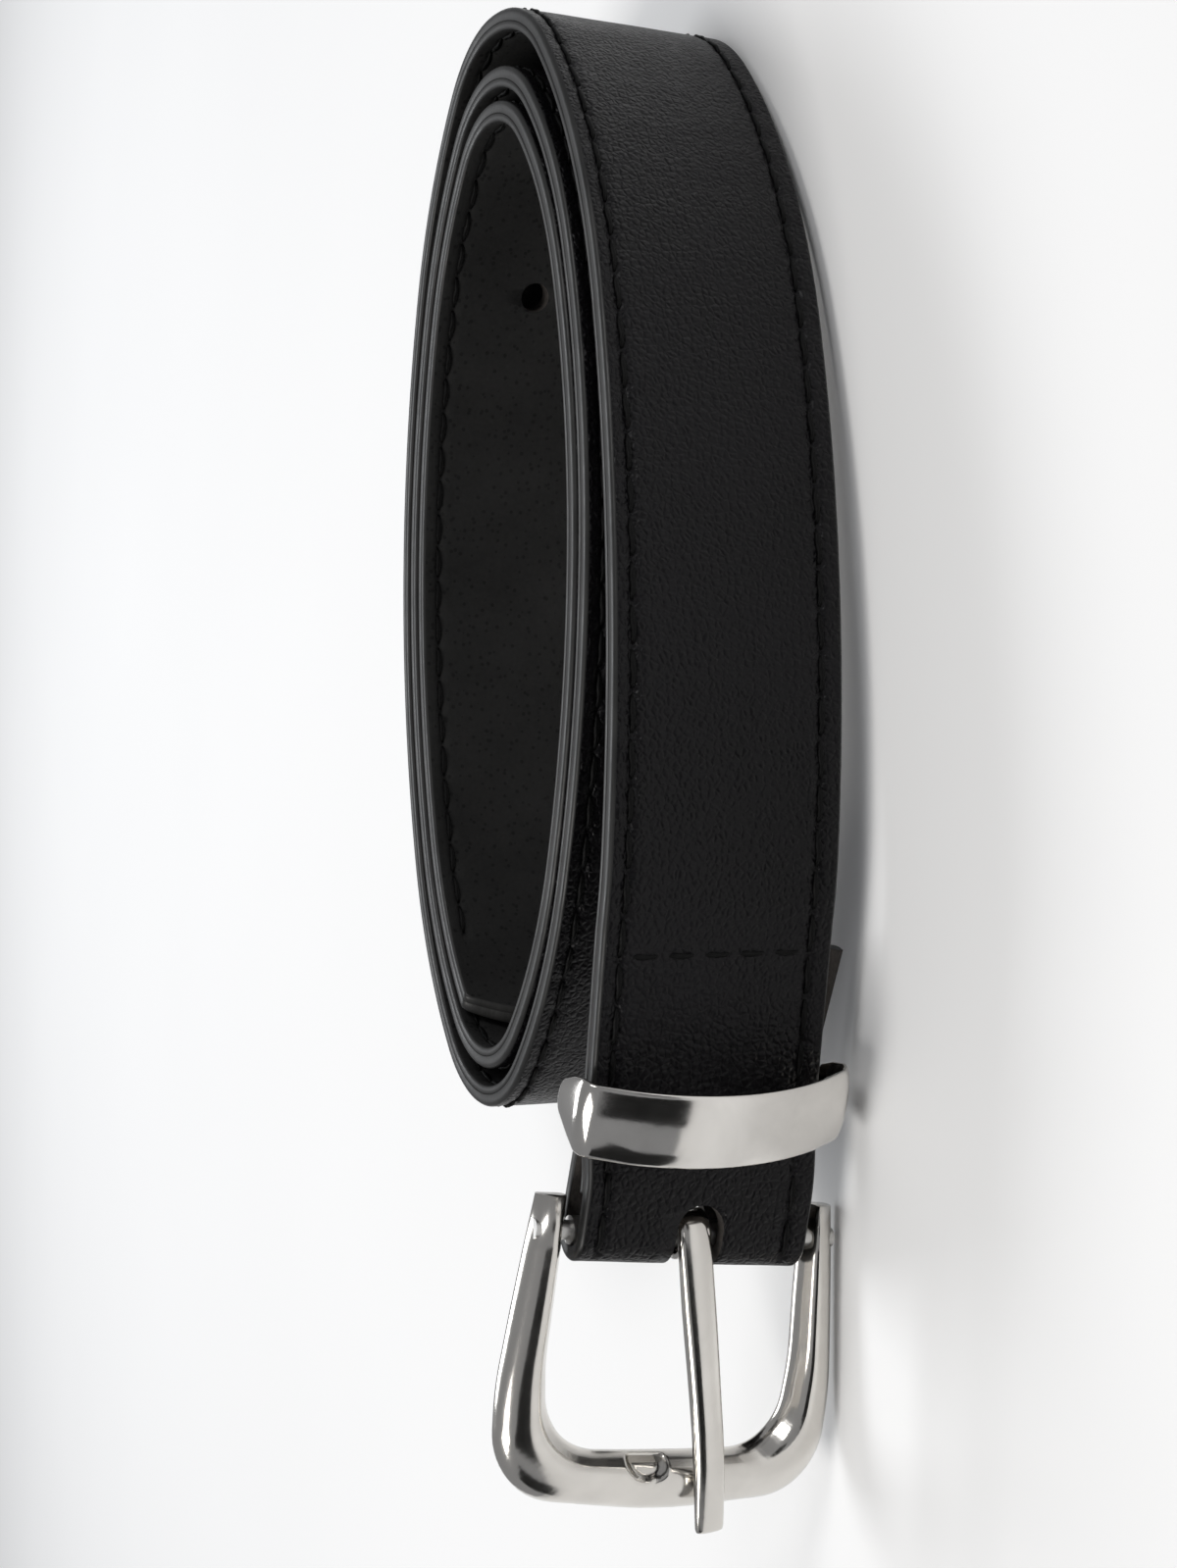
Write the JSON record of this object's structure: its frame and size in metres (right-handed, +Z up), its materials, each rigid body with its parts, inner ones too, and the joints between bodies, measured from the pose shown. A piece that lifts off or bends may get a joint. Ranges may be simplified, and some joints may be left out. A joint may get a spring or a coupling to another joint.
{
  "type": "leather belt",
  "caption": "Black stitched leather belt rolled into a standing oval coil, with a metal frame buckle, tongue and arched keeper loop.",
  "frame": {"origin": "on the floor, under the middle of the belt's footprint", "axes": "+Z up, along the strap's width; +X along the coil's long axis, away from the buckle; the face of the front run looks towards -Y"},
  "size_m": [0.197, 0.1004, 0.0451],
  "materials": {
    "face_leather": "fine grain, semi-matte, painted edges",
    "lining_leather": "matte lining grain",
    "core": "bonded filler board",
    "thread": "waxed polyester thread",
    "buckle_metal": "bright nickel plate, lightly handled",
    "keeper_metal": "polished nickel plate",
    "bar_steel": "plain plated steel pin"
  },
  "bodies": {
    "strap": {"face_leather": "face_leather", "reinforcement_core": "core", "lining_leather": "lining_leather", "upper_face_stitching": "thread", "lower_face_stitching": "thread", "upper_lining_stitching": "thread", "lower_lining_stitching": "thread", "cross_stitching": "thread", "tab_stitching": "thread"},
    "buckle": {"buckle_frame": "buckle_metal", "buckle_bar": "bar_steel"},
    "tongue": {"buckle_tongue": "buckle_metal"},
    "keeper": {"keeper_loop": "keeper_metal"}
  },
  "joints": [
    {"name": "buckle_swing", "type": "hinge", "parent": "strap", "child": "buckle", "pos_m": [-0.06329, -0.03521, 0.0207], "axis": [0.1091, -0.0115, 0.994], "range_deg": [-90, 6]},
    {"name": "tongue_lift", "type": "hinge", "parent": "buckle", "child": "tongue", "pos_m": [-0.06329, -0.03521, 0.0207], "axis": [0.1091, -0.0115, 0.994], "range_deg": [0, 70]},
    {"name": "keeper_rock", "type": "hinge", "parent": "strap", "child": "keeper", "pos_m": [-0.0454, -0.03712, 0.0207], "axis": [0, 0, 1], "range_deg": [-6, 6]}
  ]
}
